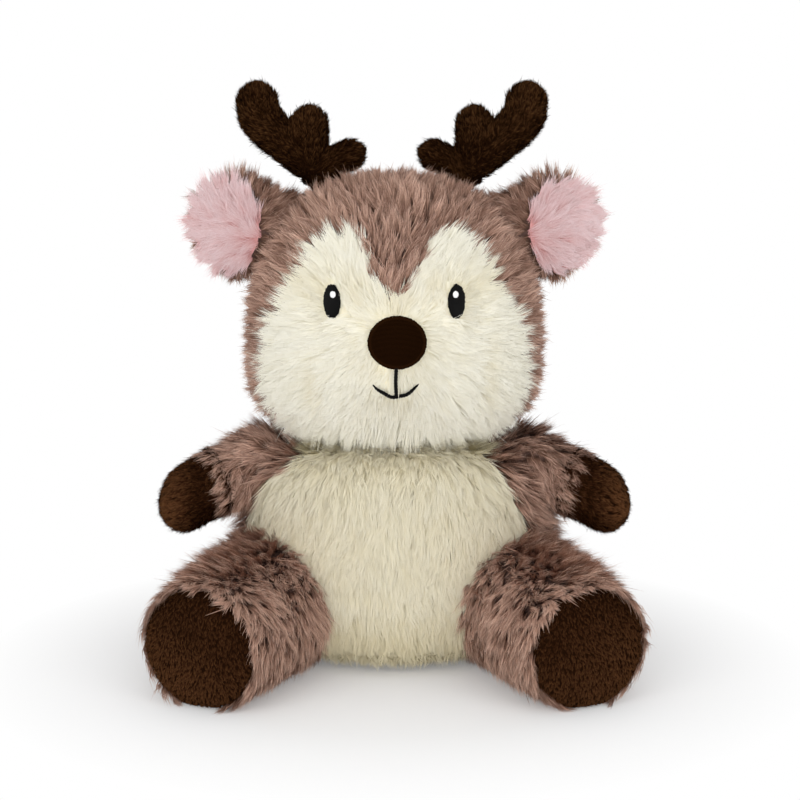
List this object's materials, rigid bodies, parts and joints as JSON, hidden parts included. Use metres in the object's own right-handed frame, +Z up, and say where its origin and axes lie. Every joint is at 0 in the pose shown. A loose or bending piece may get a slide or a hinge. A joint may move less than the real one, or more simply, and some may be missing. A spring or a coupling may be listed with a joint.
{
  "type": "plush deer",
  "caption": "Sitting plush deer with shaggy mauve fur, cream face and belly, pink ears, brown felted antlers and hooves.",
  "frame": {"origin": "centre of the bounding box's bottom face, on the surface the deer sits on", "axes": "+Z up, +X to the deer's own left, -Y the way the deer faces"},
  "size_m": [0.2064, 0.1573, 0.2515],
  "materials": {
    "mauve_fur": "long brushed pile",
    "cream_fur": "long brushed pile",
    "brown_nap": "short nap",
    "pink_fur": "long brushed pile",
    "black_thread": "satin stitch",
    "white_thread": "satin stitch",
    "fibre_filling": "loose fibre",
    "calico": "plain weave"
  },
  "bodies": {
    "torso": {"body_cover": "mauve_fur", "belly_panel": "cream_fur", "body_stuffing": "fibre_filling", "pellet_bag": "calico"},
    "neck": {"neck_stuffing": "fibre_filling"},
    "head": {"head_cover": "mauve_fur", "face_panel": "cream_fur", "head_stuffing": "fibre_filling", "nose_patch": "brown_nap", "eye_left": "black_thread", "eye_right": "black_thread", "eye_highlight_left": "white_thread", "eye_highlight_right": "white_thread", "mouth_stitching": "black_thread"},
    "tail": {"tail": "mauve_fur"},
    "arm_left": {"arm_cover_left": "mauve_fur", "hoof_left": "brown_nap", "arm_stuffing_left": "fibre_filling"},
    "leg_left": {"leg_cover_left": "mauve_fur", "sole_left": "brown_nap", "leg_stuffing_left": "fibre_filling"},
    "ear_left": {"ear_back_left": "mauve_fur", "ear_lining_left": "pink_fur"},
    "antler_left": {"antler_cover_left": "brown_nap", "antler_stuffing_left": "fibre_filling"},
    "arm_right": {"arm_cover_right": "mauve_fur", "hoof_right": "brown_nap", "arm_stuffing_right": "fibre_filling"},
    "leg_right": {"leg_cover_right": "mauve_fur", "sole_right": "brown_nap", "leg_stuffing_right": "fibre_filling"},
    "ear_right": {"ear_back_right": "mauve_fur", "ear_lining_right": "pink_fur"},
    "antler_right": {"antler_cover_right": "brown_nap", "antler_stuffing_right": "fibre_filling"}
  },
  "joints": [
    {"name": "head_turn", "type": "hinge", "parent": "torso", "child": "neck", "pos_m": [0, 0.0165, 0.097], "axis": [0, 0, 1], "range_deg": [-20, 20], "stiffness_Nm_per_rad": 1},
    {"name": "head_nod", "type": "hinge", "parent": "neck", "child": "head", "pos_m": [0, 0.0165, 0.097], "axis": [1, 0, 0], "range_deg": [-8, 8], "stiffness_Nm_per_rad": 1.5},
    {"name": "tail_wag", "type": "hinge", "parent": "torso", "child": "tail", "pos_m": [0, 0.06031, 0.026], "axis": [1, 0, 0], "range_deg": [-15, 15], "stiffness_Nm_per_rad": 0.03},
    {"name": "shoulder_left", "type": "hinge", "parent": "torso", "child": "arm_left", "pos_m": [0.056, 0.014, 0.0865], "axis": [-0.4177, -0.9086, 0], "range_deg": [-10, 25], "stiffness_Nm_per_rad": 0.15},
    {"name": "hip_left", "type": "hinge", "parent": "torso", "child": "leg_left", "pos_m": [0.049, 0.002, 0.0285], "axis": [-0.9071, -0.421, 0], "range_deg": [-8, 20], "stiffness_Nm_per_rad": 0.3},
    {"name": "ear_fold_left", "type": "hinge", "parent": "head", "child": "ear_left", "pos_m": [0.049, 0.0175, 0.188], "axis": [-0.1, 0.0101, 0.9949], "range_deg": [-14, 14], "stiffness_Nm_per_rad": 0.035},
    {"name": "antler_bend_left", "type": "hinge", "parent": "head", "child": "antler_left", "pos_m": [0.0317, 0.024, 0.20356], "axis": [1, 0, 0], "range_deg": [-15, 15], "stiffness_Nm_per_rad": 0.05},
    {"name": "shoulder_right", "type": "hinge", "parent": "torso", "child": "arm_right", "pos_m": [-0.056, 0.014, 0.0865], "axis": [-0.4177, 0.9086, 0], "range_deg": [-10, 25], "stiffness_Nm_per_rad": 0.15},
    {"name": "hip_right", "type": "hinge", "parent": "torso", "child": "leg_right", "pos_m": [-0.049, 0.002, 0.0285], "axis": [-0.9071, 0.421, 0], "range_deg": [-8, 20], "stiffness_Nm_per_rad": 0.3},
    {"name": "ear_fold_right", "type": "hinge", "parent": "head", "child": "ear_right", "pos_m": [-0.049, 0.0175, 0.188], "axis": [0.1, 0.0101, 0.9949], "range_deg": [-14, 14], "stiffness_Nm_per_rad": 0.035},
    {"name": "antler_bend_right", "type": "hinge", "parent": "head", "child": "antler_right", "pos_m": [-0.0317, 0.024, 0.20356], "axis": [1, 0, 0], "range_deg": [-15, 15], "stiffness_Nm_per_rad": 0.05}
  ]
}
